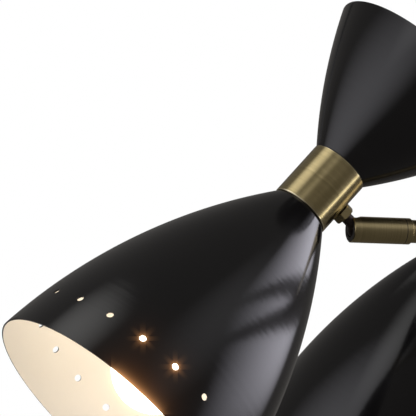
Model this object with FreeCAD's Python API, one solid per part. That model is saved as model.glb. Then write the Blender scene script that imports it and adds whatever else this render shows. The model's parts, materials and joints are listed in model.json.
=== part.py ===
import FreeCAD, Part
import math
import os

# Branched pendant light in millimetres. The origin is the middle of the ceiling plane, +Z is up,
# -Y is the front. Five arms carry double-cone heads on slotted ball swivels.

Vector = FreeCAD.Vector

# Arrangement
arm_count = 5
front_azimuth = -90.0
arm_reach = 343.0
arm_drop = 480.0
# How far each head is tipped outwards from hanging straight down, going clockwise from the front
head_tilts = [38.0, 43.2, 30.5, 40.0, 34.0]
largest_tilt = 65.0

# Clearances
fit_gap = 0.1
running_gap = 0.1
turn_gap = 0.2
thread_gap = 0.1
slot_gap = 0.3

# Collar and shades
collar_radius = 21.0
collar_length = 41.6
collar_wall = 1.0
collar_edge = 0.5
shade_wall = 1.0
spigot_length = 8.0
lower_length = 196.0
lower_rim_radius = 94.8
lower_bow = 13.8
upper_length = 88.0
upper_rim_radius = 69.9
upper_bow = 3.2
perforation_count = 20
perforation_radius = 2.4
perforation_from_rim = 30.0

# Rod, nuts, lamp holder and bulb on the head's axis
rod_radius = 5.0
rod_bore = 3.4
rod_above = 8.0
cable_window = 5.0
nut_across_corners = 17.0
nut_height = 5.0
holder_neck_radius = 12.0
holder_radius = 19.0
holder_shoulder = 20.0
holder_bulge = 0.75
holder_base = 24.0
rod_grip = 12.0
cap_gap = 0.3
cap_showing = 1.5
glass_radius = 30.0
glass_centre_from_collar = 149.5
glass_neck_radius = 14.0
glass_neck_length = 47.0
glass_seat_radius = 12.2
glass_seat_length = 8.0
glass_wall = 1.0
flare_start = 38.0
flare_pull = 0.45
cap_radius = 13.2
cap_length = 25.0
cap_wall = 0.8
cap_shoulder = 3.0
contact_collar_radius = 9.0
contact_radius = 4.5
contact_height = 2.0

# Ball stud and its nuts
stud_reach = 38.6
ball_radius = 7.1
stud_radius = 4.0
stud_bore = 2.4
stud_nut_across_corners = 14.8
stud_nut_height = 5.2
stud_nut_chamfer = 0.6
inner_nut_height = 4.0
stud_end = 1.2

# Swivel sleeve
sleeve_radius = 8.9
sleeve_length = 43.3
mouth_from_ball = 5.6
lip_thickness = 0.85
lip_radius = 5.4
sleeve_edge = 0.5

# Arm tube
tube_radius = 7.8
tube_bore = 6.3
seat_from_ball = 5.3
seat_bore = 5.0
tail_radius = 5.0
tail_bore = 3.5

# Hub
hub_radius = 30.0
hub_height = 38.0
hub_wall = 3.0
hub_edge = 3.0
boss_radius = 10.5
boss_height = 2.5
lid_thickness = 3.0
lid_step = 2.5
arm_nut_across_corners = 14.0
arm_nut_height = 4.0
finial_radius = 9.0
finial_straight = 4.0
finial_depth = 9.0
finial_neck_radius = 6.5
finial_neck_height = 2.0

# Stem
stem_radius = 7.0
stem_bore = 5.4
stem_tail_radius = 5.0
stem_tail_bore = 3.5
stem_flange_radius = 12.0
stem_flange_height = 5.0
stem_nut_across_corners = 17.0
stem_nut_height = 5.0

# Ceiling fitting
strap_thickness = 2.5
strap_width = 24.0
strap_drop = 14.0
strap_middle = 32.5
strap_reach = 60.0
screw_spacing = 92.0
screw_hole_radius = 2.6
canopy_clearance = 3.6
canopy_wall = 1.2
canopy_rim_height = 6.0
canopy_depth = 36.0
canopy_flat_radius = 20.0
canopy_bow = 8.0
ring_radius = 12.0
ring_height = 11.0
ring_edge = 1.0
ring_screw_radius = 1.6
block_length = 16.0
block_width = 21.0
block_height = 11.0
block_from_centre = 12.0
block_ways = 3
block_screw_radius = 1.8
block_screw_depth = 4.0

# Worked out from the sizes above
collar_half = collar_length / 2.0
collar_bore = collar_radius - collar_wall
spigot_radius = collar_bore - fit_gap
disc_level = collar_half - spigot_length
glass_centre = -collar_half - glass_centre_from_collar
neck_end = glass_centre + glass_neck_length
cap_top = neck_end + cap_length
holder_floor = cap_top + contact_height
holder_top = holder_floor + holder_base
sleeve_bore = ball_radius + running_gap
sleeve_end = mouth_from_ball - sleeve_length
hub_face = hub_radius + boss_height
hub_top = hub_height / 2.0
hub_bottom = -hub_height / 2.0
strap_top = -strap_drop
strap_under = -strap_drop - strap_thickness
stem_shoulder = strap_under - stem_nut_height - turn_gap
canopy_under = -canopy_depth
canopy_radius = math.hypot(strap_reach, strap_width / 2.0) + canopy_clearance + canopy_wall


def point(radius, height):
    return Vector(radius, 0, height)


def line(start, end):
    return Part.LineSegment(start, end).toShape()


def polyline(points):
    return [line(a, b) for a, b in zip(points, points[1:])]


def revolve(edges):
    """Turn a closed outline in the XZ plane into a solid about Z."""
    wire = Part.Wire(Part.__sortEdges__(edges))
    solid = Part.Face(wire).revolve(Vector(0, 0, 0), Vector(0, 0, 1), 360)
    return solid


def turned(points):
    """Solid of revolution about Z from the corners of a closed outline (radius, height)."""
    corners = [point(r, z) for r, z in points]
    return revolve(polyline(corners + corners[:1]))


def rod(radius, low, high):
    return Part.makeCylinder(radius, high - low, Vector(0, 0, low))


def tube(outer, inner, low, high):
    return rod(outer, low, high).cut(rod(inner, low, high))


def hexagon(across_corners, low, high):
    """Hexagonal prism about Z."""
    corners = []
    for i in range(7):
        turn = math.radians(60 * i)
        x = across_corners / 2.0 * math.cos(turn)
        y = across_corners / 2.0 * math.sin(turn)
        corners.append(Vector(x, y, low))
    return Part.Face(Part.makePolygon(corners)).extrude(Vector(0, 0, high - low))


def nut(across_corners, bore, low, high):
    return hexagon(across_corners, low, high).cut(rod(bore, low, high))


def chamfered_nut(across_corners, bore, low, high, chamfer):
    """Hexagon nut whose upper and lower corners are turned off."""
    middle = across_corners / 2.0
    flat = middle - chamfer
    envelope = turned([
        (0, low),
        (flat, low),
        (middle, low + chamfer),
        (middle, high - chamfer),
        (flat, high),
        (0, high),
    ])
    return nut(across_corners, bore, low, high).common(envelope)


def bevelled_rod(radius, low, high, edge):
    """Cylinder with both rims bevelled."""
    return turned([
        (0, low),
        (radius - edge, low),
        (radius, low + edge),
        (radius, high - edge),
        (radius - edge, high),
        (0, high),
    ])


def along_x(shape):
    """Lay a shape that was built about Z along X, its +Z towards +X."""
    laid = shape.copy()
    laid.rotate(Vector(0, 0, 0), Vector(0, 1, 0), 90)
    return laid


class BowedWall:
    """Circular arc from one radius and height to another that bulges outwards by a given bow."""

    def __init__(self, start, end, bow):
        self.start = start
        self.end = end
        chord = end - start
        outward = Vector(-chord.z, 0, chord.x).normalize()
        if outward.x < 0:
            outward = outward * -1
        self.radius = chord.Length ** 2 / (8 * bow) + bow / 2
        self.centre = (start + end) * 0.5 + outward * (bow - self.radius)
        self.crest = (start + end) * 0.5 + outward * bow

    def offset(self, where, depth):
        """Point at a depth under a point of the arc, along the wall's normal."""
        return where - self.normal(where) * depth

    def normal(self, where):
        return (where - self.centre).normalize()

    def at_height(self, height):
        rise = height - self.centre.z
        across = math.sqrt(self.radius ** 2 - rise ** 2)
        return point(self.centre.x + across, height)

    def arc(self, depth=0.0):
        ends = [self.offset(p, depth) for p in (self.start, self.crest, self.end)]
        return Part.Arc(*ends).toShape()


def spun_shade(length, rim_radius, bow):
    """Flared shade whose neck enters the collar from above, with a clamped disc at the neck's end."""
    mouth = point(rim_radius, collar_half + length)
    neck = point(spigot_radius, collar_half)
    wall = BowedWall(neck, mouth, bow)
    bore = spigot_radius - shade_wall
    inner_neck = wall.offset(neck, shade_wall)
    inner_mouth = wall.offset(mouth, shade_wall)
    inside = [
        inner_neck,
        point(bore, collar_half),
        point(bore, disc_level + shade_wall),
        point(rod_radius + thread_gap, disc_level + shade_wall),
        point(rod_radius + thread_gap, disc_level),
        point(spigot_radius, disc_level),
        neck,
    ]
    edges = [wall.arc(), line(mouth, inner_mouth), wall.arc(shade_wall)]
    return revolve(edges + polyline(inside)), wall


def upside_down(shape):
    turned_over = shape.copy()
    turned_over.rotate(Vector(0, 0, 0), Vector(1, 0, 0), 180)
    return turned_over


def perforations(wall):
    """Cutters for the ring of holes, square to the wall."""
    height = wall.end.z - perforation_from_rim
    where = wall.at_height(height)
    normal = wall.normal(where)
    start = where - normal * (3 * shade_wall)
    cutter = Part.makeCylinder(perforation_radius, 6 * shade_wall, start, normal)
    cutters = []
    for i in range(perforation_count):
        copy = cutter.copy()
        copy.rotate(Vector(0, 0, 0), Vector(0, 0, 1), (i + 0.5) * 360.0 / perforation_count)
        cutters.append(copy)
    return cutters


def make_upper_shade():
    return spun_shade(upper_length, upper_rim_radius, upper_bow)[0]


def make_lower_shade():
    shade, wall = spun_shade(lower_length, lower_rim_radius, lower_bow)
    return upside_down(shade.cut(perforations(wall)))


def make_collar():
    """Brass tube with bevelled ends and one hole in its side for the ball stud."""
    body = bevelled_rod(collar_radius, -collar_half, collar_half, collar_edge)
    bore = rod(collar_bore, -collar_half, collar_half)
    hole = along_x(rod(stud_radius + thread_gap, 0, collar_radius + collar_wall))
    return body.cut([bore, hole])


def make_clamp_rod():
    """Hollow threaded rod, with a window for the leads, and the two nuts that clamp the shades."""
    top = disc_level + shade_wall + nut_height + rod_above
    bottom = holder_top - rod_grip
    shaft = tube(rod_radius, rod_bore, bottom, top)
    window = along_x(rod(cable_window / 2.0, 0, 2 * rod_radius))
    nut_low = disc_level + shade_wall
    upper_nut = nut(nut_across_corners, rod_radius, nut_low, nut_low + nut_height)
    lower_nut = nut(nut_across_corners, rod_radius, -nut_low - nut_height, -nut_low)
    return Part.makeCompound([shaft.cut(window), upper_nut, lower_nut])


def make_lamp_holder():
    """Holder with a threaded neck on top and an open skirt round the bulb's cap."""
    shoulder = holder_top - holder_shoulder
    bottom = neck_end + cap_showing
    skirt_bore = cap_radius + cap_gap
    bulge = (holder_radius - holder_neck_radius) * holder_bulge
    bow = Part.Arc(
        point(holder_neck_radius, holder_top),
        point(holder_neck_radius + bulge, (holder_top + shoulder) / 2),
        point(holder_radius, shoulder),
    ).toShape()
    rest = [
        point(holder_radius, shoulder),
        point(holder_radius, bottom),
        point(skirt_bore, bottom),
        point(skirt_bore, holder_floor),
        point(0, holder_floor),
        point(0, holder_top - rod_grip),
        point(rod_radius, holder_top - rod_grip),
        point(rod_radius, holder_top),
        point(holder_neck_radius, holder_top),
    ]
    return revolve([bow] + polyline(rest))


def on_ball(radius, degrees):
    """Point on the bulb's round part, at an angle above its widest circle."""
    angle = math.radians(degrees)
    return point(radius * math.cos(angle), glass_centre + radius * math.sin(angle))


def glass_side(depth):
    """Edges of the bulb's side, drawn in by a depth, and its two ends: the tip and the seat's end."""
    ball = glass_radius - depth
    tip = on_ball(ball, -90)
    shoulder = on_ball(ball, flare_start)
    neck = point(glass_neck_radius - depth, neck_end - depth)
    seat = glass_seat_radius - depth
    seat_end = point(seat, neck_end + glass_seat_length)
    leaving = math.radians(flare_start)
    slope = Vector(-math.sin(leaving), 0, math.cos(leaving))
    pull = (neck.z - shoulder.z) * flare_pull
    flare = Part.BezierCurve()
    flare.setPoles([shoulder, shoulder + slope * pull, neck - Vector(0, 0, pull), neck])
    edges = [
        Part.Arc(tip, on_ball(ball, 0), shoulder).toShape(),
        flare.toShape(),
    ]
    return edges + polyline([neck, point(seat, neck.z), seat_end]), tip, seat_end


def make_bulb():
    """Glass envelope, open at its neck, and the screw cap that it stands in."""
    outside, outer_tip, outer_end = glass_side(0.0)
    inside, inner_tip, inner_end = glass_side(glass_wall)
    glass = revolve(outside + inside + [line(outer_tip, inner_tip), line(outer_end, inner_end)])
    cap_inside = cap_radius - cap_wall
    cap = turned([
        (cap_inside, neck_end),
        (cap_radius, neck_end),
        (cap_radius, cap_top - cap_shoulder),
        (contact_collar_radius, cap_top),
        (contact_radius, cap_top),
        (contact_radius, cap_top + contact_height),
        (0, cap_top + contact_height),
        (0, cap_top - cap_wall),
        (contact_collar_radius, cap_top - cap_wall),
        (cap_inside, cap_top - cap_shoulder - cap_wall),
    ])
    return Part.makeCompound([glass, cap])


def make_ball_stud():
    """Hollow stud along +X with its ball at the origin."""
    shank_end = stud_reach - inner_nut_face() + inner_nut_height + stud_end
    ball = Part.makeSphere(ball_radius)
    shank = along_x(rod(stud_radius, 0, shank_end))
    bore = along_x(rod(stud_bore, -2 * ball_radius, shank_end + stud_end))
    return ball.fuse(shank).cut(bore)


def inner_nut_face():
    """Distance from the head's axis to the inner nut's face, which meets the bore at its corners."""
    half = stud_nut_across_corners / 2.0
    return math.sqrt(collar_bore ** 2 - half ** 2) - thread_gap


def make_stud_nuts():
    """Chamfered nut outside the collar and plain nut inside it, both on the stud."""
    bore = stud_radius + running_gap
    outer_low = stud_reach - collar_radius - stud_nut_height
    outer_high = outer_low + stud_nut_height
    outer = chamfered_nut(stud_nut_across_corners, bore, outer_low, outer_high, stud_nut_chamfer)
    inner_low = stud_reach - inner_nut_face()
    inner = nut(stud_nut_across_corners, bore, inner_low, inner_low + inner_nut_height)
    return Part.makeCompound([along_x(outer), along_x(inner)])


def make_sleeve():
    """Sleeve about the arm's axis, with a lip that holds the ball and a slot for the raised stud."""
    lip_back = mouth_from_ball - lip_thickness
    outer = bevelled_rod(sleeve_radius, sleeve_end, mouth_from_ball, sleeve_edge)
    bore = rod(sleeve_bore, sleeve_end, lip_back)
    mouth = rod(lip_radius, lip_back, mouth_from_ball)
    body = along_x(outer.cut([bore, mouth]))
    half_slot = stud_radius + slot_gap
    slot_floor = math.sqrt(sleeve_bore ** 2 - half_slot ** 2)
    tip = math.radians(largest_tilt)
    stud_back = slot_floor / math.tan(tip) - stud_radius / math.sin(tip)
    slot_end = stud_back - slot_gap + half_slot
    run = Part.makeBox(sleeve_length, 2 * half_slot, sleeve_radius, Vector(slot_end, -half_slot, 0))
    turn = Part.makeCylinder(half_slot, sleeve_radius, Vector(slot_end, 0, 0))
    return body.cut([run, turn])


def make_arm_tube():
    """Tube along the arm's axis, with a seat for the ball at one end and a thread for the hub."""
    shoulder = sleeve_end - turn_gap
    hub_end = hub_face - arm_reach
    tail_end = hub_end - boss_height - hub_wall - arm_nut_height - turn_gap
    outline = [
        (seat_bore, -seat_from_ball),
        (ball_radius, -seat_from_ball),
        (ball_radius, shoulder),
        (tube_radius, shoulder),
        (tube_radius, hub_end),
        (tail_radius, hub_end),
        (tail_radius, tail_end),
        (tail_bore, tail_end),
        (tail_bore, hub_end),
        (tube_bore, hub_end + hub_wall),
        (tube_bore, shoulder - hub_wall),
        (seat_bore, shoulder),
    ]
    return along_x(turned(outline))


def make_arm_nut():
    """Nut inside the hub on the arm's threaded end."""
    wall_inside = hub_face - arm_reach - boss_height - hub_wall
    return along_x(nut(arm_nut_across_corners, tail_radius, wall_inside - arm_nut_height, wall_inside))


def make_hub_body():
    """Drum, open below, with a flat boss for each arm and a hole on top for the stem."""
    drum = turned([
        (0, hub_bottom),
        (hub_radius, hub_bottom),
        (hub_radius, hub_top - hub_edge),
        (hub_radius - hub_edge, hub_top),
        (0, hub_top),
    ])
    bosses = []
    holes = []
    for azimuth in arm_azimuths():
        boss = along_x(rod(boss_radius, 0, hub_face))
        hole = along_x(rod(tail_radius + thread_gap, 0, hub_face + hub_wall))
        boss.rotate(Vector(0, 0, 0), Vector(0, 0, 1), azimuth)
        hole.rotate(Vector(0, 0, 0), Vector(0, 0, 1), azimuth)
        bosses.append(boss)
        holes.append(hole)
    cavity = hub_cavity()
    stem_hole = rod(stem_tail_radius + thread_gap, 0, hub_top + hub_wall)
    return drum.fuse(bosses).cut([cavity, stem_hole] + holes)


def hub_cavity():
    """Space inside the drum: one flat inside each boss, so that the arm nuts sit square."""
    inner = hub_radius - hub_wall
    sides = []
    for i in range(arm_count + 1):
        turn = math.radians(front_azimuth + 360.0 / arm_count * (i + 0.5))
        corner = inner / math.cos(math.pi / arm_count)
        sides.append(Vector(corner * math.cos(turn), corner * math.sin(turn), hub_bottom))
    prism = Part.Face(Part.makePolygon(sides)).extrude(Vector(0, 0, hub_height - hub_wall))
    return prism.common(rod(hub_radius - hub_wall / 2.0, hub_bottom, hub_top))


def make_hub_lid():
    """Disc under the drum with a step that centres it."""
    step_radius = hub_radius - hub_wall - fit_gap
    hole = stem_tail_radius + thread_gap
    return turned([
        (hole, hub_bottom - lid_thickness),
        (hub_radius - lid_thickness / 2.0, hub_bottom - lid_thickness),
        (hub_radius, hub_bottom - lid_thickness / 2.0),
        (hub_radius, hub_bottom),
        (step_radius, hub_bottom),
        (step_radius, hub_bottom + lid_step),
        (hole, hub_bottom + lid_step),
    ])


def make_hub_finial():
    """Rounded knob on the stem's lower end."""
    top = hub_bottom - lid_thickness
    neck = top - finial_neck_height
    belly = neck - finial_straight
    bottom = belly - finial_radius
    half_way = math.radians(45)
    round_end = Part.Arc(
        point(finial_radius, belly),
        point(finial_radius * math.cos(half_way), belly - finial_radius * math.sin(half_way)),
        point(0, bottom),
    ).toShape()
    rest = [
        point(0, bottom),
        point(0, top - finial_depth),
        point(stem_tail_radius, top - finial_depth),
        point(stem_tail_radius, top),
        point(finial_neck_radius, top),
        point(finial_neck_radius, neck),
        point(finial_radius, neck),
        point(finial_radius, belly),
    ]
    return revolve([round_end] + polyline(rest))


def make_stem():
    """Tube from the ceiling bracket to the hub, with a flange at its foot and a thread at both ends."""
    hub_seat = -arm_drop + hub_top
    tail_end = -arm_drop + hub_bottom - lid_thickness - finial_depth + turn_gap
    top_end = strap_top + stem_nut_height + turn_gap
    return turned([
        (stem_tail_bore, tail_end),
        (stem_tail_radius, tail_end),
        (stem_tail_radius, hub_seat),
        (stem_flange_radius, hub_seat),
        (stem_flange_radius, hub_seat + stem_flange_height / 2.0),
        (stem_radius, hub_seat + stem_flange_height),
        (stem_radius, stem_shoulder),
        (stem_tail_radius, stem_shoulder),
        (stem_tail_radius, top_end),
        (stem_tail_bore, top_end),
        (stem_tail_bore, stem_shoulder - stem_nut_height),
        (stem_bore, stem_shoulder - 2 * stem_nut_height),
        (stem_bore, hub_seat + 2 * stem_flange_height),
        (stem_tail_bore, hub_seat + stem_flange_height),
    ])


def make_stem_nuts():
    """Nuts above and under the strap, and one under the hub's top."""
    in_hub = -arm_drop + hub_top - hub_wall
    levels = [strap_top, strap_under - stem_nut_height, in_hub - stem_nut_height]
    nuts = []
    for low in levels:
        nuts.append(nut(stem_nut_across_corners, stem_tail_radius, low, low + stem_nut_height))
    return Part.makeCompound(nuts)


def make_bracket():
    """Strap bent into a shallow hat, with a screw hole in each foot and a hole for the stem."""
    half = strap_width / 2.0
    foot_start = strap_middle - strap_thickness
    profile = [
        (-strap_reach, 0),
        (-foot_start, 0),
        (-foot_start, strap_top),
        (foot_start, strap_top),
        (foot_start, 0),
        (strap_reach, 0),
        (strap_reach, -strap_thickness),
        (strap_middle, -strap_thickness),
        (strap_middle, strap_under),
        (-strap_middle, strap_under),
        (-strap_middle, -strap_thickness),
        (-strap_reach, -strap_thickness),
        (-strap_reach, 0),
    ]
    wire = Part.makePolygon([Vector(x, -half, z) for x, z in profile])
    strap = Part.Face(wire).extrude(Vector(0, strap_width, 0))
    cutters = [rod(stem_tail_radius + thread_gap, strap_under, strap_top)]
    for side in (-1, 1):
        where = Vector(side * screw_spacing / 2.0, 0, -strap_thickness)
        cutters.append(Part.makeCylinder(screw_hole_radius, strap_thickness, where))
    return strap.cut(cutters)


def make_canopy():
    """Dished cover with its rim on the ceiling and a hole for the stem."""
    rim = point(canopy_radius, -canopy_rim_height)
    flat = point(canopy_flat_radius, canopy_under)
    wall = BowedWall(rim, flat, canopy_bow)
    inner_rim = wall.offset(rim, canopy_wall)
    inner_flat = wall.offset(flat, canopy_wall)
    hole = stem_radius + fit_gap
    inner_radius = canopy_radius - canopy_wall
    outside = [flat, point(hole, canopy_under), point(hole, canopy_under + canopy_wall), inner_flat]
    inside = [inner_rim, point(inner_radius, 0), point(canopy_radius, 0), rim]
    edges = [wall.arc(), wall.arc(canopy_wall)] + polyline(outside) + polyline(inside)
    return revolve(edges)


def make_canopy_ring():
    """Ring that grips the stem under the canopy, with the hole of its grub screw."""
    low = canopy_under - ring_height
    ring = turned([
        (stem_radius + fit_gap, low),
        (ring_radius - ring_edge, low),
        (ring_radius, low + ring_edge),
        (ring_radius, canopy_under - ring_edge),
        (ring_radius - ring_edge, canopy_under),
        (stem_radius + fit_gap, canopy_under),
    ])
    screw_hole = along_x(rod(ring_screw_radius, 0, 2 * ring_radius))
    screw_hole.translate(Vector(0, 0, low + ring_height / 2.0))
    return ring.cut(screw_hole)


def make_terminal_block():
    """Block of screw terminals that stands on the strap's middle."""
    low = Vector(block_from_centre, -block_width / 2.0, strap_top)
    body = Part.makeBox(block_length, block_width, block_height, low)
    pitch = block_width / block_ways
    cutters = []
    for way in range(block_ways):
        y = -block_width / 2.0 + pitch * (way + 0.5)
        for share in (0.25, 0.75):
            x = block_from_centre + block_length * share
            top = Vector(x, y, strap_top + block_height - block_screw_depth)
            cutters.append(Part.makeCylinder(block_screw_radius, block_screw_depth, top))
    return body.cut(cutters)


def arm_azimuths():
    return [front_azimuth - 360.0 / arm_count * i for i in range(arm_count)]


def to_arm(shape, azimuth):
    """Move a shape from a swivel's own frame, ball at the origin and outwards along +X, to its arm."""
    placed = shape.copy()
    placed.translate(Vector(arm_reach, 0, -arm_drop))
    placed.rotate(Vector(0, 0, 0), Vector(0, 0, 1), azimuth)
    return placed


def to_stud(shape, azimuth, tilt):
    """As to_arm, with the shape first raised about the ball by the head's tilt."""
    raised = shape.copy()
    raised.rotate(Vector(0, 0, 0), Vector(0, 1, 0), -tilt)
    return to_arm(raised, azimuth)


def on_head_axis(shape):
    """Shift a shape that was built about Z to the head's axis, beyond the stud."""
    shifted = shape.copy()
    shifted.translate(Vector(stud_reach, 0, 0))
    return shifted


def collar_part():
    """Collar with its side hole turned to face the ball."""
    collar = make_collar()
    collar.rotate(Vector(0, 0, 0), Vector(0, 0, 1), 180)
    return collar


def clamp_part():
    clamp = make_clamp_rod()
    clamp.rotate(Vector(0, 0, 0), Vector(0, 0, 1), 180)
    return clamp


def save(shape, name):
    shape.exportStep(os.path.join("parts", name + ".step"))


def lower_to_hub(shape):
    lowered = shape.copy()
    lowered.translate(Vector(0, 0, -arm_drop))
    return lowered


def main():
    os.makedirs("parts", exist_ok=True)
    head_parts = {
        "upper_shade": on_head_axis(make_upper_shade()),
        "lower_shade": on_head_axis(make_lower_shade()),
        "collar": on_head_axis(collar_part()),
        "clamp_rod": on_head_axis(clamp_part()),
        "lamp_holder": on_head_axis(make_lamp_holder()),
        "bulb": on_head_axis(make_bulb()),
        "ball_stud": make_ball_stud(),
        "stud_nuts": make_stud_nuts(),
    }
    sleeve = make_sleeve()
    arm_tube = make_arm_tube()
    arm_nut = make_arm_nut()
    arm_nuts = []
    for number, azimuth in enumerate(arm_azimuths(), start=1):
        tilt = head_tilts[number - 1]
        for name, shape in head_parts.items():
            save(to_stud(shape, azimuth, tilt), f"{name}_{number}")
        save(to_arm(sleeve, azimuth), f"swivel_sleeve_{number}")
        save(to_arm(arm_tube, azimuth), f"arm_tube_{number}")
        arm_nuts.append(to_arm(arm_nut, azimuth))
    save(Part.makeCompound(arm_nuts), "arm_nuts")
    save(lower_to_hub(make_hub_body()), "hub_body")
    save(lower_to_hub(make_hub_lid()), "hub_lid")
    save(lower_to_hub(make_hub_finial()), "hub_finial")
    save(make_stem(), "stem")
    save(make_stem_nuts(), "stem_nuts")
    save(make_canopy(), "canopy")
    save(make_canopy_ring(), "canopy_ring")
    save(make_bracket(), "ceiling_bracket")
    save(make_terminal_block(), "terminal_block")


main()
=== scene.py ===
import json
import math

import bmesh
import bpy
from mathutils import Matrix, Vector

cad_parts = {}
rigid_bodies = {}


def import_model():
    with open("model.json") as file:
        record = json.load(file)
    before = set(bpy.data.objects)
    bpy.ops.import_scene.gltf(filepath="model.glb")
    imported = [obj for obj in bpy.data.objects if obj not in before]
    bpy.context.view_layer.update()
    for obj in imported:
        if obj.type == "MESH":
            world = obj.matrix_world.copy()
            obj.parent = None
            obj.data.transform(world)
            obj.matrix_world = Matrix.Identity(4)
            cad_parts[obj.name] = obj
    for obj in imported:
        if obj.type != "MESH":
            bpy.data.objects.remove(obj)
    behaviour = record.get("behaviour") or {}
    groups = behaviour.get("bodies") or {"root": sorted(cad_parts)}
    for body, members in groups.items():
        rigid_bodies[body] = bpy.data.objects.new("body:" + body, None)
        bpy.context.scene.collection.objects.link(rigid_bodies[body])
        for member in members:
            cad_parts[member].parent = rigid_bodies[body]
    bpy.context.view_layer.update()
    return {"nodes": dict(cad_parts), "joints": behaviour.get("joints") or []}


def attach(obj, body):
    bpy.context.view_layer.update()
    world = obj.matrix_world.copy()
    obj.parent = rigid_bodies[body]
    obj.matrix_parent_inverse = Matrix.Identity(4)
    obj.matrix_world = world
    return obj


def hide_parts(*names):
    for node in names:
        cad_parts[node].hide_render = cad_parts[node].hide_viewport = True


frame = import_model()

# The heads' numbers in the part, and the one that the photo shows nearly whole
head_numbers = [1, 2, 3, 4, 5]
near_head = 2

# Sizes in metres, the same as the part's own. In a head's own frame the collar's middle is the origin,
# +Z runs up its axis and +X away from the arm.
stud_reach = 0.0386
collar_half = 0.0208
shade_wall = 0.001
neck_radius = 0.0199
neck_length = 0.008
rod_hole_radius = 0.0051
lower_length = 0.196
lower_rim_radius = 0.0948
lower_bow = 0.0138
upper_length = 0.088
upper_rim_radius = 0.0699
upper_bow = 0.0032
hole_count = 20
hole_radius = 0.0024
hole_from_rim = 0.03
glass_radius = 0.03
glass_centre = -0.1703
glass_neck_radius = 0.014
glass_neck_length = 0.047
flare_start = math.radians(38)
flare_pull = 0.45
seat_radius = 0.0122
cap_radius = 0.0132
cap_length = 0.025
cap_shoulder = 0.003
contact_collar_radius = 0.009
contact_radius = 0.0045
contact_height = 0.002
cap_thread_pitch = 0.0036
# Where a sleeve's brass is painted near black: its bore and mouth face as painted shade, and a thin seam
# line as a dark joint
sleeve_mouth = 0.0056
sleeve_mouth_depth = 0.0001
sleeve_inside_radius = 0.0078
sleeve_face_radius = 0.0083
sleeve_seam = -0.033
seam_width = 0.0005
# Width of the pale gold band painted at each collar end, a painted highlight
painted_highlight_width = 0.0007

# How the meshes are made: columns round each hole of a shade, and the angle at which an edge is sharp
columns_per_hole = 8
sharp_angle = math.radians(40)

# The photo's view: the camera's direction, and its place from the near head's ball, which puts both
# heads where the photo shows them. A long lens far away stands for the photo's flat perspective.
view_azimuth = math.radians(86.11)
view_elevation = math.radians(3.92)
view_roll = math.radians(0.45)
camera_from_ball = Vector((-0.46411, -5.34120, -0.353574))
camera_lens = 692.3

# Studio, in metres: the floor, what the softboxes face, and the dark battens across a softbox
floor_height = -2.4
floor_radius = 45.0
lit_middle = Vector((-0.3, 0.0, -0.5))
batten_half_width = 0.10
batten_feather = 0.05


def colour(red, green, blue):
    return (red, green, blue, 1.0)


class Value:
    """Output of a node that takes part in sums: each sum adds one Math node to the same tree."""

    def __init__(self, tree, socket):
        self.tree = tree
        self.socket = socket

    def output(self, name):
        """Another output of the same node."""
        return Value(self.tree, self.socket.node.outputs[name])

    def __add__(self, other):
        return self.tree.math("ADD", self, other)

    def __radd__(self, other):
        return self.tree.math("ADD", other, self)

    def __sub__(self, other):
        return self.tree.math("SUBTRACT", self, other)

    def __rsub__(self, other):
        return self.tree.math("SUBTRACT", other, self)

    def __mul__(self, other):
        return self.tree.math("MULTIPLY", self, other)

    def __rmul__(self, other):
        return self.tree.math("MULTIPLY", other, self)

    def __truediv__(self, other):
        return self.tree.math("DIVIDE", self, other)

    def __rtruediv__(self, other):
        return self.tree.math("DIVIDE", other, self)

    def __pow__(self, other):
        return self.tree.math("POWER", self, other)

    def __gt__(self, other):
        return self.tree.math("GREATER_THAN", self, other)

    def __lt__(self, other):
        return self.tree.math("LESS_THAN", self, other)

    def __abs__(self):
        return self.tree.math("ABSOLUTE", self)

    def cos(self):
        return self.tree.math("COSINE", self)

    def sin(self):
        return self.tree.math("SINE", self)

    def at_least(self, other):
        return self.tree.math("MAXIMUM", self, other)

    def as_share(self):
        """The value, kept between 0 and 1."""
        return self.tree.math("MINIMUM", self.at_least(0.0), 1.0)

    def parts(self):
        """X, Y and Z of a vector output."""
        split = self.tree.add("ShaderNodeSeparateXYZ", {}, {"Vector": self})
        return split, split.output("Y"), split.output("Z")


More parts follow.
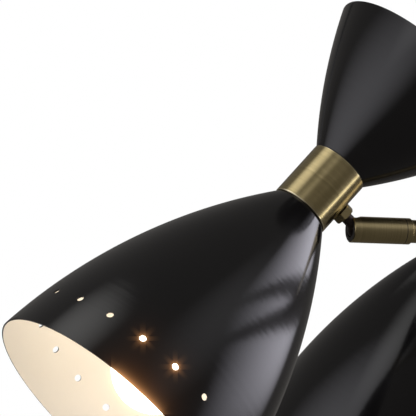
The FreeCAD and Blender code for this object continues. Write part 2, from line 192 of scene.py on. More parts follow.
class Tree:
    """Writes a node tree. Every node comes from add(). Sockets go by their names, but those of a Mix
    node by their numbers, because it has several of each name."""

    def __init__(self, node_tree):
        self.node_tree = node_tree

    def add(self, kind, settings, sockets, output=0):
        """New node: its settings first, then a value, an output or a list of outputs for each socket."""
        node = self.node_tree.nodes.new(kind)
        for name, setting in settings.items():
            setattr(node, name, setting)
        for key, given in sockets.items():
            socket = node.inputs[key]
            for item in given if isinstance(given, list) else [given]:
                if isinstance(item, Value):
                    self.node_tree.links.new(item.socket, socket)
                else:
                    socket.default_value = item
        if not node.outputs:
            return None
        return Value(self, node.outputs[output])

    def math(self, operation, *numbers):
        return self.add("ShaderNodeMath", {"operation": operation}, dict(enumerate(numbers)))

    def inputs(self, kinds):
        """Named inputs of a geometry tree, as outputs of its Group Input node."""
        for name, kind in kinds.items():
            self.node_tree.interface.new_socket(name, in_out="INPUT", socket_type="NodeSocket" + kind)
        entry = self.add("NodeGroupInput", {}, {})
        return {name: entry.output(name) for name in kinds}

    def result(self, geometry):
        """Ends a geometry tree."""
        interface = self.node_tree.interface
        interface.new_socket("Geometry", in_out="OUTPUT", socket_type="NodeSocketGeometry")
        self.add("NodeGroupOutput", {}, {"Geometry": geometry})

    def coordinates(self, kind):
        return self.add("ShaderNodeTexCoord", {}, {}, output=kind)

    def vector(self, x, y, z):
        return self.add("ShaderNodeCombineXYZ", {}, {"X": x, "Y": y, "Z": z})

    def mix_vectors(self, share, first, second):
        settings = {"data_type": "VECTOR"}
        return self.add("ShaderNodeMix", settings, {0: share, 4: first, 5: second}, output=1)

    def mix_colours(self, share, first, second):
        """Mix of two colours, each given as red, green and blue or as an output."""
        settings = {"data_type": "RGBA"}
        ends = [end if isinstance(end, Value) else colour(*end) for end in (first, second)]
        return self.add("ShaderNodeMix", settings, {0: share, 6: ends[0], 7: ends[1]}, output=2)

    def noise(self, where, scale, detail=2.0, roughness=0.5):
        """Noise from 0 to 1 over a position, with its scale in waves per metre."""
        sockets = {"Vector": where, "Scale": scale, "Detail": detail, "Roughness": roughness}
        return self.add("ShaderNodeTexNoise", {}, sockets)

    def line_noise(self, distance, scale):
        """Noise from 0 to 1 along one distance."""
        sockets = {"W": distance, "Scale": scale, "Detail": 2.0}
        return self.add("ShaderNodeTexNoise", {"noise_dimensions": "1D"}, sockets)

    def bump(self, height, distance):
        """Normal of a surface with fine relief: a height of 1 stands for a distance in metres."""
        sockets = {"Height": height, "Distance": distance, "Strength": 1.0}
        return self.add("ShaderNodeBump", {}, sockets)


def new_material(name):
    material = bpy.data.materials.new(name)
    material.use_nodes = True
    material.node_tree.nodes.clear()
    return material, Tree(material.node_tree)


def show(tree, sockets):
    """Ends a material with a Principled shader."""
    surface = tree.add("ShaderNodeBsdfPrincipled", {}, sockets)
    tree.add("ShaderNodeOutputMaterial", {}, {"Surface": surface})


def own_position(tree, place):
    """Position on a piece in the piece's own frame, where place is that frame in the part's frame."""
    back = place.inverted()
    everywhere = tree.coordinates("Object")
    sockets = {
        "Vector": everywhere,
        "Location": back.to_translation(),
        "Rotation": back.to_euler(),
    }
    return tree.add("ShaderNodeMapping", {"vector_type": "POINT"}, sockets)


def spun_distance(tree):
    """Distance along a spun or turned piece's profile, from its own map."""
    return tree.add("ShaderNodeUVMap", {"uv_map": "profile"}, {}).parts()[1]


def satin_black_paint():
    """Sprayed satin black: fine orange peel over the faint rings that spinning leaves."""
    material, tree = new_material("satin_black_paint")
    where = tree.coordinates("Object")
    peel = tree.noise(where, 950.0, detail=1.0)
    cloud = tree.noise(where, 26.0, detail=3.0)
    rings = tree.line_noise(spun_distance(tree), 260.0)
    height = peel * 0.3 + rings * 0.7
    show(tree, {
        "Base Color": tree.mix_colours(cloud, (0.0058, 0.0055, 0.0058), (0.0088, 0.0083, 0.0086)),
        "Roughness": 0.10 + cloud * 0.03 + peel * 0.02,
        "Specular IOR Level": 0.5,
        "Normal": tree.bump(height, 0.00003),
    })
    return material


def cream_paint():
    """Matt cream paint inside the shades, a little dusty and uneven."""
    material, tree = new_material("cream_paint")
    where = tree.coordinates("Object")
    peel = tree.noise(where, 800.0, detail=1.0)
    cloud = tree.noise(where, 30.0, detail=4.0)
    show(tree, {
        "Base Color": tree.mix_colours(cloud, (0.86, 0.81, 0.73), (0.92, 0.88, 0.80)),
        "Roughness": 0.52 + cloud * 0.12,
        "Normal": tree.bump(peel, 0.00003),
    })
    return material


def painted_edge():
    """Cut rim and punched holes, where the black paint runs thin over the bare metal."""
    material, tree = new_material("painted_edge")
    where = tree.coordinates("Object")
    worn = tree.noise(where, 420.0, detail=3.0, roughness=0.7)
    thin = ((worn - 0.62) * 8.0).as_share()
    show(tree, {
        "Base Color": tree.mix_colours(thin, (0.012, 0.011, 0.011), (0.16, 0.15, 0.14)),
        "Metallic": thin * 0.8,
        "Roughness": 0.34 + worn * 0.1,
        "Normal": tree.bump(worn, 0.00004),
    })
    return material


def aged_brass(name, place, dull=0.15, light=1.0, painted_shade_mouth_and_seam=False, painted_highlight_end=None):
    """Lacquered antique brass, turned about the Z axis of its own frame, with fine tool lines. Dull is
    its least roughness, and light scales its colour: above 1 it paints the brass lighter, a painted
    highlight. The end height, either way from the middle, marks an edge band painted pale gold, a
    painted highlight. The mouth flag paints a sleeve's bore and mouth face near black, a painted
    shade, and its seam near black as a dark joint."""
    material, tree = new_material(name)
    where = own_position(tree, place)
    x, y, z = where.parts()
    coarse = tree.line_noise(z, 300.0)
    fine = tree.line_noise(z, 1300.0)
    patina = tree.noise(where, 70.0, detail=5.0, roughness=0.6)
    smudge = tree.noise(where, 24.0, detail=2.0)
    bright = coarse * 0.20 + fine * 0.45 + patina * 0.20 + smudge * 0.15
    deep = [part * light for part in (0.22, 0.17, 0.074)]
    pale = [part * light for part in (0.76, 0.635, 0.34)]
    metal = tree.mix_colours(bright, deep, pale)
    roughness = dull + patina * 0.08 + fine * 0.05
    metallic = 1.0
    # Painted highlight: a pale gold band at each end of the piece
    if painted_highlight_end is not None:
        painted_highlight = abs(z) > painted_highlight_end - painted_highlight_width
        metal = tree.mix_colours(painted_highlight, metal, (0.95, 0.84, 0.56))
    # Painted shade: the sleeve's bore and mouth face near black, with the seam, a dark joint, in the
    # same colour
    if painted_shade_mouth_and_seam:
        across = x * x + y * y
        inside = across < sleeve_inside_radius ** 2
        face = (z > sleeve_mouth - sleeve_mouth_depth) * (across < sleeve_face_radius ** 2)
        seam = abs(z - sleeve_seam) < seam_width / 2.0
        black = inside.at_least(face).at_least(seam)
        shade_and_seam_colour = tree.mix_colours(patina, (0.012, 0.010, 0.012), (0.030, 0.025, 0.026))
        metal = tree.mix_colours(black, metal, shade_and_seam_colour)
        roughness = roughness + black * 0.15
        metallic = 1.0 - black * 0.7
    show(tree, {
        "Base Color": metal,
        "Metallic": metallic,
        "Roughness": roughness,
        "Coat Weight": 0.15,
        "Coat Roughness": 0.12,
        "Normal": tree.bump(coarse * 0.4 + fine * 0.6, 0.00007),
    })
    return material


def blackened_bronze():
    """Ball and shank: brass blackened in a bath, with a little metal showing where it rubs."""
    material, tree = new_material("blackened_bronze")
    where = tree.coordinates("Object")
    mottle = tree.noise(where, 260.0, detail=4.0, roughness=0.6)
    rub = tree.noise(where, 900.0, detail=2.0)
    show(tree, {
        "Base Color": tree.mix_colours(mottle * rub * 1.6, (0.020, 0.016, 0.018), (0.115, 0.088, 0.075)),
        "Metallic": 0.9,
        "Roughness": 0.30 + mottle * 0.14,
        "Normal": tree.bump(rub, 0.00003),
    })
    return material


def zinc_plate():
    """Bright zinc on the nuts, rods and strap, with cloudy crystals in the plating."""
    material, tree = new_material("zinc_plate")
    where = tree.coordinates("Object")
    crystals = tree.add("ShaderNodeTexVoronoi", {"feature": "F1"}, {"Vector": where, "Scale": 420.0})
    cloud = tree.noise(where, 90.0, detail=4.0)
    shade = crystals * 0.35 + cloud * 0.65
    show(tree, {
        "Base Color": tree.mix_colours(shade, (0.46, 0.46, 0.45), (0.70, 0.70, 0.67)),
        "Metallic": 1.0,
        "Roughness": 0.28 + cloud * 0.16,
        "Normal": tree.bump(crystals, 0.00004),
    })
    return material


def moulded_plastic(name, dark, light):
    """Moulded plastic with the fine sparked texture of its tool."""
    material, tree = new_material(name)
    where = tree.coordinates("Object")
    spark = tree.noise(where, 1600.0, detail=2.0)
    flow = tree.noise(where, 40.0, detail=3.0)
    show(tree, {
        "Base Color": tree.mix_colours(flow, dark, light),
        "Roughness": 0.42 + spark * 0.14,
        "Normal": tree.bump(spark, 0.00005),
    })
    return material


def lit_opal_glass():
    """Opal bulb, lit: even on the round part, dimmer up the neck where the coating thickens."""
    material, tree = new_material("lit_opal_glass")
    where = tree.coordinates("Object")
    coating = tree.noise(where, 60.0, detail=3.0)
    neck_start = 0.062
    neck_run = 0.045
    fade = ((spun_distance(tree) - neck_start) / neck_run).as_share()
    glow = tree.mix_colours(fade, (1.0, 0.90, 0.76), (0.62, 0.48, 0.32))
    show(tree, {
        "Base Color": tree.mix_colours(coating, (0.90, 0.87, 0.80), (0.95, 0.93, 0.88)),
        "Roughness": 0.12 + coating * 0.06,
        "Coat Weight": 0.3,
        "Emission Color": glow,
        "Emission Strength": 3.9,
    })
    return material


def rolled_cap_metal():
    """Nickelled screw cap of the bulb with its rolled thread."""
    material, tree = new_material("rolled_cap_metal")
    thread = (spun_distance(tree) * (2.0 * math.pi / cap_thread_pitch)).sin()
    where = tree.coordinates("Object")
    scuffs = tree.noise(where, 500.0, detail=3.0)
    show(tree, {
        "Base Color": tree.mix_colours(scuffs, (0.55, 0.54, 0.52), (0.72, 0.71, 0.69)),
        "Metallic": 1.0,
        "Roughness": 0.22 + scuffs * 0.15,
        "Normal": tree.bump(thread, 0.0004),
    })
    return material


def pale_floor():
    """Pale and matt. To the camera it is brighter than the light that reaches it would make it, and that
    extra brightness lights nothing else."""
    material, tree = new_material("pale_floor")
    where = tree.coordinates("Object")
    cloud = tree.noise(where, 0.8)
    pale = tree.mix_colours(cloud, (0.74, 0.74, 0.73), (0.78, 0.78, 0.77))
    plain = tree.add("ShaderNodeBsdfPrincipled", {}, {"Base Color": pale, "Roughness": 0.8})
    lit = tree.add("ShaderNodeBsdfPrincipled", {}, {
        "Base Color": pale,
        "Roughness": 0.8,
        "Emission Color": pale,
        "Emission Strength": 0.65,
    })
    by_camera = tree.add("ShaderNodeLightPath", {}, {})
    surface = tree.add("ShaderNodeMixShader", {}, {0: by_camera, 1: plain, 2: lit})
    tree.add("ShaderNodeOutputMaterial", {}, {"Surface": surface})
    return material


def spun_shade_tree():
    """Geometry tree of a spun shade. A flat blank, one unit wide for each hole, is thickened and then
    wrapped round the axis along the profile arc from rim to neck. Around each hole the blank's faces run
    from the round hole to a square that its neighbours share."""
    arc_points = 240
    rows_round_hole = 7
    rows_below_holes = 5
    rows_of_body = 36
    row_crowding = 1.5
    blank_weld = 0.0001
    shade_weld = 0.00001
    tree = Tree(bpy.data.node_groups.new("spun_shade", "GeometryNodeTree"))
    size = tree.inputs({
        "Rim": "Vector",
        "Crest": "Vector",
        "Neck": "Vector",
        "Wall": "Float",
        "Perforated": "Bool",
        "Holes": "Int",
        "Hole radius": "Float",
        "Hole ring radius": "Float",
        "Hole from rim": "Float",
        "Outside": "Material",
        "Inside": "Material",
        "Edge": "Material",
    })
    profile = tree.add("GeometryNodeCurveArc", {"mode": "POINTS"}, {
        "Resolution": arc_points,
        "Start": size["Rim"],
        "Middle": size["Crest"],
        "End": size["Neck"],
    })
    length = tree.add("GeometryNodeCurveLength", {}, {"Curve": profile})
    cell = size["Hole ring radius"] * (2.0 * math.pi) / size["Holes"]

    # One cell of the blank: a round hole in the middle of a unit square, with rows of faces that crowd
    # towards the hole. A ring of four corners is the square, once it is turned upright.
    around_hole = 4 * columns_per_hole
    ring_sizes = [(around_hole, size["Hole radius"] / cell), (4, math.sqrt(0.5))]
    grid = tree.add("GeometryNodeMeshGrid", {}, {
        "Size X": 1.0,
        "Size Y": 1.0,
        "Vertices X": around_hole + 1,
        "Vertices Y": rows_round_hole,
    })
    around, outward, unused = grid.output("UV Map").parts()
    rings = []
    for corners, radius in ring_sizes:
        ring = tree.add("GeometryNodeCurvePrimitiveCircle", {"mode": "RADIUS"}, {
            "Resolution": corners,
            "Radius": radius,
        })
        sample = tree.add("GeometryNodeSampleCurve", {"mode": "FACTOR"}, {
            "Curves": ring,
            "Factor": around,
        })
        rings.append(sample.output("Position"))
    spread = tree.mix_vectors(outward ** row_crowding, rings[0], rings[1])
    squared = tree.add("ShaderNodeVectorRotate", {"rotation_type": "Z_AXIS"}, {
        "Vector": spread,
        "Angle": math.radians(45),
    })
    holed = tree.add("GeometryNodeSetPosition", {}, {"Geometry": grid, "Position": squared})
    holed = tree.add("GeometryNodeFlipFaces", {}, {"Mesh": holed})
    holed = tree.add("GeometryNodeMergeByDistance", {}, {"Geometry": holed, "Distance": blank_weld})

    # The row of cells, at its distance from the rim
    places = tree.add("GeometryNodeMeshLine", {"mode": "OFFSET"}, {
        "Count": size["Holes"],
        "Start Location": (0.5, 0.0, 0.0),
        "Offset": (1.0, 0.0, 0.0),
    })
    row = tree.add("GeometryNodeInstanceOnPoints", {}, {"Points": places, "Instance": holed})
    row = tree.add("GeometryNodeRealizeInstances", {}, {"Geometry": row})
    x, y, z = tree.add("GeometryNodeInputPosition", {}, {}).parts()
    raised = tree.vector(x, y * cell + size["Hole from rim"], z)
    row = tree.add("GeometryNodeSetPosition", {}, {"Geometry": row, "Position": raised})

    # Plain bands below and above the row, or one band for the whole of a plain shade
    row_low = size["Hole from rim"] - cell / 2.0
    row_high = size["Hole from rim"] + cell / 2.0
    band_ends = [
        (0.0, row_low, rows_below_holes),
        (row_high, length, rows_of_body),
        (0.0, length, rows_of_body),
    ]
    bands = []
    for low, high, rows in band_ends:
        band = tree.add("GeometryNodeMeshGrid", {}, {
            "Size X": size["Holes"],
            "Size Y": high - low,
            "Vertices X": size["Holes"] * columns_per_hole + 1.0,
            "Vertices Y": rows,
        })
        middle = tree.vector(size["Holes"] / 2.0, (high + low) / 2.0, 0.0)
        bands.append(tree.add("GeometryNodeTransform", {}, {"Geometry": band, "Translation": middle}))
    perforated = tree.add("GeometryNodeJoinGeometry", {}, {"Geometry": [row, bands[0], bands[1]]})
    blank = tree.add("GeometryNodeSwitch", {"input_type": "GEOMETRY"}, {
        "Switch": size["Perforated"],
        "False": bands[2],
        "True": perforated,
    })
    blank = tree.add("GeometryNodeMergeByDistance", {}, {"Geometry": blank, "Distance": blank_weld})

    # Sheet thickness: the inside at level 0, the outside at level 1
    front = tree.add("GeometryNodeExtrudeMesh", {"mode": "FACES"}, {
        "Mesh": blank,
        "Offset": (0.0, 0.0, 1.0),
        "Offset Scale": 1.0,
        "Individual": False,
    })
    back = tree.add("GeometryNodeFlipFaces", {}, {"Mesh": blank})
    sheet = tree.add("GeometryNodeJoinGeometry", {}, {"Geometry": [front, back]})
    sheet = tree.add("GeometryNodeMergeByDistance", {}, {"Geometry": sheet, "Distance": blank_weld})
    x, y, z = tree.add("GeometryNodeInputPosition", {}, {}).parts()
    sheet = tree.add("GeometryNodeStoreNamedAttribute", {"data_type": "FLOAT2", "domain": "CORNER"}, {
        "Geometry": sheet,
        "Name": "profile",
        "Value": tree.vector(x / size["Holes"], y, 0.0),
    })

    # Wrap the sheet round the axis
    sample = tree.add("GeometryNodeSampleCurve", {"mode": "LENGTH"}, {"Curves": profile, "Length": y})
    arc_radius, unused, arc_height = sample.output("Position").parts()
    run_in, unused, run_up = sample.output("Tangent").parts()
    depth = (z - 1.0) * size["Wall"]
    radius = arc_radius + run_up * depth
    height = arc_height - run_in * depth
    turn = x * (2.0 * math.pi) / size["Holes"]
    wrapped = tree.vector(radius * turn.cos(), radius * turn.sin(), height)
    shade = tree.add("GeometryNodeSetPosition", {}, {"Geometry": sheet, "Position": wrapped})
    shade = tree.add("GeometryNodeMergeByDistance", {}, {"Geometry": shade, "Distance": shade_weld})
    shade = tree.add("GeometryNodeSetShadeSmooth", {"domain": "FACE"}, {
        "Geometry": shade,
        "Shade Smooth": True,
    })
    shade = tree.add("GeometryNodeSetShadeSmooth", {"domain": "EDGE"}, {
        "Geometry": shade,
        "Selection": tree.add("GeometryNodeInputMeshEdgeAngle", {}, {}) > sharp_angle,
        "Shade Smooth": False,
    })
    shade = tree.add("GeometryNodeRealizeInstances", {}, {"Geometry": shade})
    faces_of = {"Inside": True, "Outside": front.output("Top"), "Edge": front.output("Side")}
    for paint, faces in faces_of.items():
        shade = tree.add("GeometryNodeSetMaterial", {}, {
            "Geometry": shade,
            "Selection": faces,
            "Material": size[paint],
        })
    tree.result(shade)
    return tree.node_tree


def grown_mesh(node_tree, values):
    """Plain mesh that a geometry tree makes with the given values."""
    host = bpy.data.objects.new("host", bpy.data.meshes.new("host"))
    bpy.context.scene.collection.objects.link(host)
    modifier = host.modifiers.new("shape", "NODES")
    modifier.node_group = node_tree
    for item in node_tree.interface.items_tree:
        if item.in_out == "INPUT":
            modifier[item.identifier] = values[item.name]
    bpy.context.view_layer.update()
    graph = bpy.context.evaluated_depsgraph_get()
    mesh = bpy.data.meshes.new_from_object(host.evaluated_get(graph), depsgraph=graph)
    bpy.data.objects.remove(host)
    if mesh.materials[0] is None:
        mesh.materials.pop(index=0)
    return mesh


class BowedProfile:
    """Arc from rim to neck that bulges outwards by a bow, as radii and heights with the rim below."""

    def __init__(self, length, rim_radius, bow):
        self.rim = Vector((rim_radius, 0.0, -collar_half - length))
        self.neck = Vector((neck_radius, 0.0, -collar_half))
        chord = self.rim - self.neck
        outward = Vector((-chord.z, 0.0, chord.x)).normalized()
        self.radius = chord.length ** 2 / (8.0 * bow) + bow / 2.0
        middle = (self.rim + self.neck) / 2.0
        self.centre = middle + outward * (bow - self.radius)
        self.crest = middle + outward * bow

    def at_height(self, height):
        rise = height - self.centre.z
        across = math.sqrt(self.radius ** 2 - rise ** 2)
        return Vector((self.centre.x + across, 0.0, height))

    def distance(self, where):
        """Length of the arc from the rim to a point of it."""
        return self.radius * (self.rim - self.centre).angle(where - self.centre)

    def under(self, where):
        """Point on the sheet's inner face, under a point of the arc."""
        return where - (where - self.centre).normalized() * shade_wall


def turned_mesh(name, outline, columns):
    """Mesh turned about Z from an outline of (radius, height, paint) points. A point's paint is that of
    the face band which starts there, and radius 0 makes a pole."""
    shape = bmesh.new()
    layer = shape.loops.layers.uv.new("profile")
    rings = []
    for radius, height, paint in outline:
        if radius == 0.0:
            rings.append([shape.verts.new((0.0, 0.0, height))] * (columns + 1))
            continue
        ring = []
        for column in range(columns):
            turn = 2.0 * math.pi * column / columns
            ring.append(shape.verts.new((radius * math.cos(turn), radius * math.sin(turn), height)))
        rings.append(ring + ring[:1])
    distance = 0.0
    for index in range(len(outline) - 1):
        start_radius, start_height, paint = outline[index]
        end_radius, end_height, unused = outline[index + 1]
        step = math.hypot(end_radius - start_radius, end_height - start_height)
        for column in range(columns):
            low, high = rings[index], rings[index + 1]
            corners = [
                (low[column], column, distance),
                (low[column + 1], column + 1, distance),
                (high[column + 1], column + 1, distance + step),
                (high[column], column, distance + step),
            ]
            if start_radius == 0.0:
                del corners[1]
            elif end_radius == 0.0:
                del corners[2]
            face = shape.faces.new([corner[0] for corner in corners])
            face.smooth = True
            face.material_index = paint
            for loop, corner in zip(face.loops, corners):
                loop[layer].uv = (corner[1] / columns, corner[2])
        distance += step
    bmesh.ops.remove_doubles(shape, verts=shape.verts, dist=1e-7)
    bmesh.ops.recalc_face_normals(shape, faces=shape.faces)
    for edge in shape.edges:
        edge.smooth = edge.calc_face_angle(0.0) < sharp_angle
    mesh = bpy.data.meshes.new(name)
    shape.to_mesh(mesh)
    shape.free()
    return mesh


def joined_mesh(name, first, second):
    """The two meshes as one, with the first one's paints."""
    shape = bmesh.new()
    shape.from_mesh(first)
    shape.from_mesh(second)
    mesh = bpy.data.meshes.new(name)
    shape.to_mesh(mesh)
    shape.free()
    for material in first.materials:
        mesh.materials.append(material)
    return mesh


def shade_neck(profile, outside, inside):
    """Neck inside the collar: its wall and the flat disc that the clamp nut holds."""
    bore = neck_radius - shade_wall
    disc = -collar_half + neck_length
    inner_end = profile.under(profile.neck)
    return turned_mesh("neck", [
        (profile.neck.x, -collar_half, outside),
        (neck_radius, disc, outside),
        (rod_hole_radius, disc, outside),
        (rod_hole_radius, disc - shade_wall, inside),
        (bore, disc - shade_wall, inside),
        (bore, -collar_half, inside),
        (inner_end.x, inner_end.z, outside),
        (profile.neck.x, -collar_half, outside),
    ], hole_count * columns_per_hole)


def shade_mesh(name, spun_tree, profile, paints, perforated):
    """Whole shade: the spun body with its neck."""
    holes = profile.at_height(profile.rim.z + hole_from_rim)
    body = grown_mesh(spun_tree, {
        "Rim": profile.rim,
        "Crest": profile.crest,
        "Neck": profile.neck,
        "Wall": shade_wall,
        "Perforated": perforated,
        "Holes": hole_count,
        "Hole radius": hole_radius,
        "Hole ring radius": holes.x,
        "Hole from rim": profile.distance(holes),
        "Outside": paints["outside"],
        "Inside": paints["inside"],
        "Edge": paints["edge"],
    })
    order = [material.name for material in body.materials]
    neck = shade_neck(profile, order.index(paints["outside"].name), order.index(paints["inside"].name))
    return joined_mesh(name, body, neck)


def on_glass(degrees):
    """Point on the bulb's round part, at an angle above its widest circle."""
    angle = math.radians(degrees)
    return glass_radius * math.cos(angle), glass_centre + glass_radius * math.sin(angle)


def bulb_mesh(glass, cap):
    """Closed bulb: round end, flared neck, crimped cap and its contact."""
    glass_slot = 0
    cap_slot = 1
    flare_steps = 12
    crimp = 0.0002
    columns = 72
    points = [(0.0, glass_centre - glass_radius, glass_slot)]
    for degrees in range(-84, 37, 6):
        points.append((*on_glass(degrees), glass_slot))
    shoulder = Vector(on_glass(math.degrees(flare_start)))
    neck_end = glass_centre + glass_neck_length
    neck = Vector((glass_neck_radius, neck_end))
    pull = (neck.y - shoulder.y) * flare_pull
    leaving = Vector((-math.sin(flare_start), math.cos(flare_start)))
    handles = [shoulder, shoulder + leaving * pull, neck - Vector((0.0, pull)), neck]
    for step in range(flare_steps + 1):
        share = step / flare_steps
        rest = 1.0 - share
        weights = [rest ** 3, 3.0 * rest ** 2 * share, 3.0 * rest * share ** 2, share ** 3]
        spot = sum((handle * weight for handle, weight in zip(handles, weights)), Vector((0.0, 0.0)))
        points.append((spot.x, spot.y, glass_slot))
    cap_top = neck_end + cap_length
    points[-1] = (glass_neck_radius, neck_end, glass_slot)
    points += [
        (seat_radius, neck_end + crimp, cap_slot),
        (cap_radius, neck_end + 2.0 * crimp, cap_slot),
        (cap_radius, cap_top - cap_shoulder, cap_slot),
        (contact_collar_radius, cap_top, cap_slot),
        (contact_radius, cap_top, cap_slot),
        (contact_radius, cap_top + contact_height, cap_slot),
        (0.0, cap_top + contact_height, cap_slot),
    ]
    mesh = turned_mesh("bulb", points, columns)
    mesh.materials.append(glass)
    mesh.materials.append(cap)
    return mesh


def joint_named(name):
    return next(joint for joint in frame["joints"] if joint["name"] == name)


def head_place(number):
    """A head's own frame at rest: the collar's middle, +Z up its axis and +X away from the arm."""
    tilt = joint_named(f"head_tilt_{number}")
    outward = Vector(joint_named(f"head_turn_{number}")["axis"]).normalized()
    up = Vector(tilt["axis"]).cross(outward).normalized()
    middle = Vector(tilt["pos_m"]) + outward * stud_reach
    return frame_of(outward, up.cross(outward), up, middle)


def frame_of(x, y, z, origin):
    """Frame with these axes at this origin, as a matrix."""
    place = Matrix((x, y, z)).transposed().to_4x4()
    place.translation = origin
    return place


def turned_place(origin, axis):
    """Frame with its Z along the axis of a turned piece."""
    up = Vector(axis).normalized()
    aside = up.orthogonal().normalized()
    return frame_of(aside, up.cross(aside), up, Vector(origin))


def put_piece(name, mesh, place, body, nodes):
    """New piece at its place, on its body, standing for its CAD nodes."""
    own = mesh.copy()
    own.transform(place)
    piece = bpy.data.objects.new(name, own)
    bpy.context.scene.collection.objects.link(piece)
    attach(piece, body)
    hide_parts(*nodes)


def finish_node(name, material):
    """Own finish for a CAD node, whose mesh stays as it is."""
    frame["nodes"][name].material_slots[0].material = material


def make_heads():
    """The five heads: shades and bulb as new pieces, the rest as CAD nodes with their own finish."""
    paints = {"outside": satin_black_paint(), "inside": cream_paint(), "edge": painted_edge()}
    spun_tree = spun_shade_tree()
    bell = BowedProfile(lower_length, lower_rim_radius, lower_bow)
    cone = BowedProfile(upper_length, upper_rim_radius, upper_bow)
    lower = shade_mesh("bell", spun_tree, bell, paints, perforated=True)
    upper = shade_mesh("cone", spun_tree, cone, paints, perforated=False)
    bulb = bulb_mesh(lit_opal_glass(), rolled_cap_metal())
    upside_down = Matrix.Rotation(math.pi, 4, "X")
    bronze = blackened_bronze()
    steel = zinc_plate()
    holder = moulded_plastic("holder_plastic", (0.74, 0.70, 0.61), (0.82, 0.79, 0.71))
    for number in head_numbers:
        place = head_place(number)
        ball = joint_named(f"head_tilt_{number}")["pos_m"]
        arm = joint_named(f"sleeve_turn_{number}")["axis"]
        stud = joint_named(f"head_turn_{number}")["axis"]
        body = f"head_{number}"
        turned = place @ upside_down
        put_piece(f"bell_shade_{number}", lower, place, body, [f"lower_shade_{number}"])
        put_piece(f"cone_shade_{number}", upper, turned, body, [f"upper_shade_{number}"])
        put_piece(f"opal_bulb_{number}", bulb, place, body, [f"bulb_{number}"])
        arm_place = turned_place(ball, arm)
        # The collar's brass has a pale gold band painted at each end, a painted highlight
        collar_brass = aged_brass(f"collar_brass_{number}", place, painted_highlight_end=collar_half)
        # The nuts' brass is painted 1.3 times lighter, a painted highlight for their bright facets
        nut_brass = aged_brass(f"nut_brass_{number}", turned_place(ball, stud), light=1.3)
        arm_brass = aged_brass(f"arm_brass_{number}", arm_place, dull=0.24)
        # The sleeve's bore and mouth face are painted near black, a painted shade
        sleeve_brass = aged_brass(f"sleeve_brass_{number}", arm_place, dull=0.24, painted_shade_mouth_and_seam=True)
        finish_node(f"collar_{number}", collar_brass)
        finish_node(f"stud_nuts_{number}", nut_brass)
        finish_node(f"arm_tube_{number}", arm_brass)
        finish_node(f"swivel_sleeve_{number}", sleeve_brass)
        finish_node(f"ball_stud_{number}", bronze)
        finish_node(f"clamp_rod_{number}", steel)
        finish_node(f"lamp_holder_{number}", holder)
    for name in ["arm_nuts", "stem_nuts", "ceiling_bracket"]:
        finish_node(name, steel)


def make_hub_and_ceiling_fitting():
    """Brass turned about the stem, which is the part's own Z axis, and the terminal block's plastic."""
    brass = aged_brass("hub_brass", Matrix.Identity(4))
    for name in ["hub_body", "hub_lid", "hub_finial", "stem", "canopy", "canopy_ring"]:
        finish_node(name, brass)
    plastic = moulded_plastic("terminal_plastic", (0.80, 0.80, 0.75), (0.86, 0.86, 0.82))
    finish_node("terminal_block", plastic)


def make_floor():
    """Plain floor, as far below the ceiling as a room's."""
    shape = bmesh.new()
    bmesh.ops.create_circle(shape, cap_ends=True, radius=floor_radius, segments=96)
    mesh = bpy.data.meshes.new("floor")
    shape.to_mesh(mesh)
    shape.free()
    mesh.transform(Matrix.Translation((0.0, 0.0, floor_height)))
    floor = bpy.data.objects.new("floor", mesh)
    bpy.context.scene.collection.objects.link(floor)
    mesh.materials.append(pale_floor())


def view_axes():
    """Right, up and back of the photo's camera, as the columns of a matrix."""
    level = math.cos(view_elevation)
    ahead = Vector((
        level * math.cos(view_azimuth),
        level * math.sin(view_azimuth),
        math.sin(view_elevation),
    ))
    return ahead.to_track_quat("-Z", "Y").to_matrix() @ Matrix.Rotation(view_roll, 3, "Z")


def make_camera():
    data = bpy.data.cameras.new("camera")
    data.sensor_width = 36.0
    data.lens = camera_lens
    data.clip_start = 0.5
    data.clip_end = 200.0
    camera = bpy.data.objects.new("camera", data)
    bpy.context.scene.collection.objects.link(camera)
    ball = Vector(joint_named(f"head_tilt_{near_head}")["pos_m"])
    camera.matrix_world = Matrix.Translation(ball + camera_from_ball) @ view_axes().to_4x4()
    bpy.context.scene.camera = camera


def soft_light(name, around, above, distance, size, radiance, tint, edge=1.0, skew=1.0, battens=()):
    """Large area light, at angles from the camera's side of the object, which it faces. Its diffuser is
    brightest in the middle, or to one side of it where skew is above 1, and fades out towards its edges:
    the smaller edge is, the later. Each batten is a dark bar across it, at a height of middle + slope *
    aside + sag * aside ** 2, in metres from the diffuser's middle."""
    width, height = size
    right, up, back = view_axes().col
    turn, rise = math.radians(around), math.radians(above)
    level = right * math.sin(turn) + back * math.cos(turn)
    towards = level * math.cos(rise) + up * math.sin(rise)
    data = bpy.data.lights.new(name, "AREA")
    data.shape = "RECTANGLE"
    data.size = width
    data.size_y = height
    data.energy = radiance * math.pi * width * height
    data.color = tint
    light = bpy.data.objects.new(name, data)
    bpy.context.scene.collection.objects.link(light)
    light.location = lit_middle + towards * distance
    light.rotation_mode = "QUATERNION"
    light.rotation_quaternion = towards.to_track_quat("Z", "Y")
    light.visible_camera = False
    data.use_nodes = True
    data.node_tree.nodes.clear()
    tree = Tree(data.node_tree)
    across, along, unused = tree.coordinates("UV").parts()
    glow = (((across ** skew) * math.pi).sin() * (along * math.pi).sin()) ** edge
    aside = (across - 0.5) * width
    upwards = (along - 0.5) * height
    for middle, slope, sag in battens:
        off = upwards - middle - aside * slope - aside * aside * sag
        glow = glow * ((abs(off) - batten_half_width) / batten_feather).as_share()
    emission = tree.add("ShaderNodeEmission", {}, {"Strength": glow})
    tree.add("ShaderNodeOutputLight", {}, {"Surface": emission})


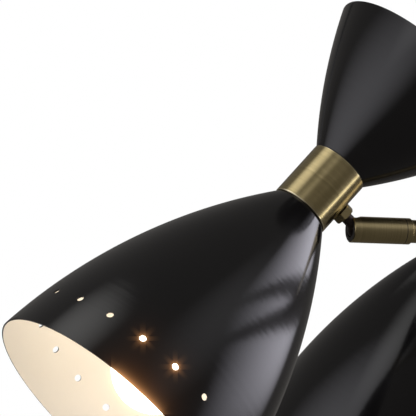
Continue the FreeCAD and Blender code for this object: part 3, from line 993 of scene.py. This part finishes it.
def make_lights():
    """The softboxes. The right one is the long highlight on the near shade, and its battens are the
    two dark bars there."""
    lilac = (0.91, 0.89, 1.0)
    cool = (0.94, 0.93, 1.0)
    faintly_cool = (0.96, 0.95, 1.0)
    neutral = (1.0, 1.0, 1.0)
    faintly_warm = (1.0, 0.99, 0.97)
    warm = (1.0, 0.98, 0.95)
    battens = [(0.122, -0.555, 0.135), (-0.225, -0.335, 0.087)]
    soft_light(
        "right_softbox", around=101.0, above=10.4, distance=2.6, size=(3.7, 2.9),
        radiance=4.7, tint=lilac, edge=0.8, skew=1.5, battens=battens,
    )
    soft_light(
        "left_softbox", around=-58.0, above=6.0, distance=2.2, size=(5.0, 2.6),
        radiance=1.3, tint=cool,
    )
    soft_light(
        "front_softbox", around=-20.0, above=31.0, distance=2.6, size=(2.5, 1.8),
        radiance=0.95, tint=neutral,
    )
    soft_light(
        "upper_softbox", around=-71.0, above=65.0, distance=2.4, size=(2.1, 1.1),
        radiance=1.3, tint=faintly_warm, edge=0.9,
    )
    soft_light(
        "strip_softbox", around=82.0, above=-20.0, distance=2.4, size=(0.34, 0.8),
        radiance=5.0, tint=warm,
    )
    soft_light(
        "fill_softbox", around=58.0, above=34.0, distance=2.6, size=(2.4, 2.1),
        radiance=0.35, tint=faintly_cool,
    )


def clear_reflections():
    """Keeps the floor and every piece but those of the near head and its arm out of reflections, so that
    its paint mirrors the softboxes and its own pieces alone."""
    for piece in bpy.context.scene.objects:
        if piece.type == "MESH" and not piece.name.endswith(f"_{near_head}"):
            piece.visible_glossy = False


def make_world():
    """White to the camera, and a dim room to everything else, darker below."""
    world = bpy.data.worlds.new("room")
    world.use_nodes = True
    world.node_tree.nodes.clear()
    tree = Tree(world.node_tree)
    height = tree.coordinates("Generated").parts()[2]
    upper = (height + 0.35).at_least(0.0)
    room = tree.mix_colours(upper, (0.095, 0.089, 0.083), (0.175, 0.168, 0.161))
    dim = tree.add("ShaderNodeBackground", {}, {"Color": room, "Strength": 1.0})
    white = tree.add("ShaderNodeBackground", {}, {"Color": colour(1.0, 1.0, 1.0), "Strength": 1.0})
    by_camera = tree.add("ShaderNodeLightPath", {}, {})
    sky = tree.add("ShaderNodeMixShader", {}, {0: by_camera, 1: dim, 2: white})
    tree.add("ShaderNodeOutputWorld", {}, {"Surface": sky})
    bpy.context.scene.world = world


def make_glow():
    """Soft glow and short rays round what is brighter than white, as a camera's lens gives them. The
    colours are shown as they are."""
    scene = bpy.context.scene
    scene.use_nodes = True
    scene.node_tree.nodes.clear()
    tree = Tree(scene.node_tree)
    image = tree.add("CompositorNodeRLayers", {}, {})
    glow = tree.add("CompositorNodeGlare", {"glare_type": "FOG_GLOW", "quality": "HIGH"}, {
        "Image": image,
        "Threshold": 1.6,
        "Strength": 0.72,
        "Size": 0.55,
        "Tint": colour(1.0, 0.40, 0.12),
    })
    rays = tree.add("CompositorNodeGlare", {"glare_type": "STREAKS", "quality": "HIGH"}, {
        "Image": glow,
        "Threshold": 1.6,
        "Strength": 0.25,
        "Streaks": 8,
        "Fade": 0.6,
        "Iterations": 2,
        "Tint": colour(1.0, 0.66, 0.34),
    })
    tree.add("CompositorNodeComposite", {}, {"Image": rays})
    scene.view_settings.view_transform = "Standard"


make_heads()
make_hub_and_ceiling_fitting()
make_floor()
make_camera()
make_lights()
make_world()
make_glow()
clear_reflections()
